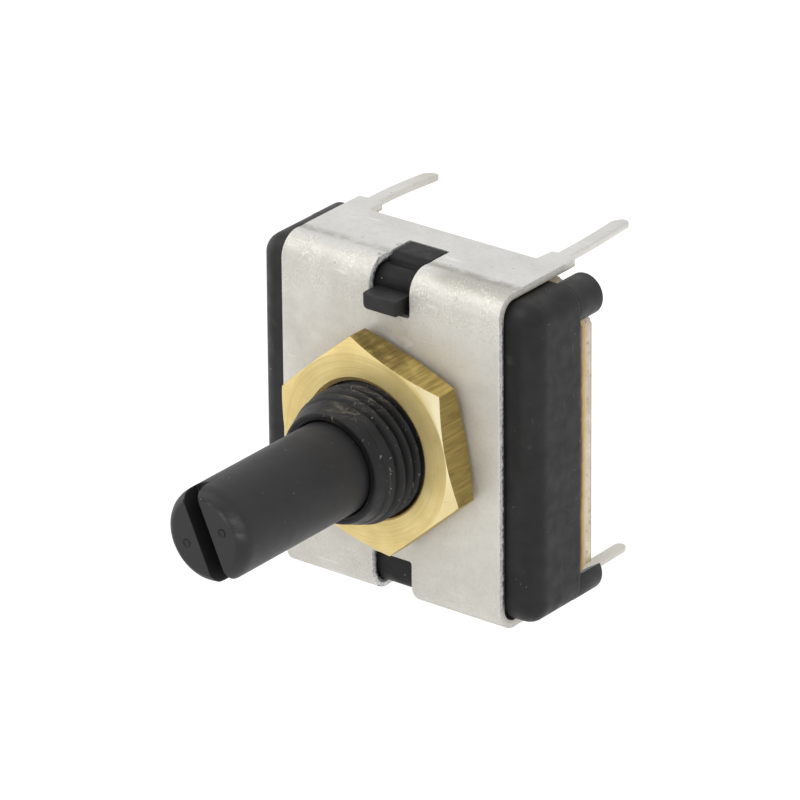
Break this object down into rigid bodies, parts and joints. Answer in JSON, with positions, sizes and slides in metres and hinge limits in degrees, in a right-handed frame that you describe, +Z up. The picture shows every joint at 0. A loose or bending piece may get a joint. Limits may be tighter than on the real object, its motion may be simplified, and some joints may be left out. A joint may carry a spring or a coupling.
{
  "type": "rotary encoder",
  "caption": "Square panel-mount rotary encoder: slotted shaft in a threaded bushing with hex nut, steel bracket with solder legs, detented rotor and contact board inside.",
  "frame": {"origin": "middle of the object in plan, on the surface that it stands on, which is the outer face of the lower bracket flange and its legs", "axes": "-Y along the shaft, out of the panel towards the user; +Y towards the circuit board and the legs; +Z up; +X to the user's right. The shaft axis is at x 0, z 11.72 mm and the mounting face at y 2.0 mm"},
  "size_m": [0.0222, 0.034, 0.0234],
  "materials": {
    "black_plastic": "fine matt moulded",
    "tinned_steel": "satin tin plate, slightly mottled",
    "nut_brass": "turned face, brushed flats",
    "natural_nylon": "moulded, unfilled",
    "phosphor_bronze": "rolled",
    "spring_steel": "polished",
    "amber_adhesive": "cured, translucent look",
    "ivory_ceramic": "unglazed",
    "silver_print": "screen printed silver",
    "carbon_print": "screen printed carbon",
    "tinned_brass": "tin plated"
  },
  "bodies": {
    "base": {"housing": "black_plastic", "mounting_bracket": "tinned_steel", "hex_nut": "nut_brass", "thrust_washer": "spring_steel", "detent_spring": "spring_steel", "adhesive_seal": "amber_adhesive", "circuit_board": "ivory_ceramic", "common_track": "silver_print", "channel_a_track": "carbon_print", "channel_b_track": "carbon_print", "channel_a_terminal": "tinned_brass", "common_terminal": "tinned_brass", "channel_b_terminal": "tinned_brass", "channel_a_rivet": "tinned_brass", "common_rivet": "tinned_brass", "channel_b_rivet": "tinned_brass"},
    "spindle": {"shaft": "black_plastic", "rotor": "natural_nylon", "contact_wiper": "phosphor_bronze", "retaining_ring": "spring_steel"},
    "detent": {"detent_ball": "spring_steel"}
  },
  "joints": [
    {"name": "shaft_turn", "type": "hinge", "parent": "base", "child": "spindle", "pos_m": [0, -0.004, 0.01172], "axis": [0, 1, 0], "continuous": true},
    {"name": "detent_lift", "type": "slide", "parent": "base", "child": "detent", "axis": [-0.7071, 0, 0.7071], "range_m": [0, 0.00045], "stiffness_N_per_m": 1500, "deforming": ["detent_spring"]}
  ]
}
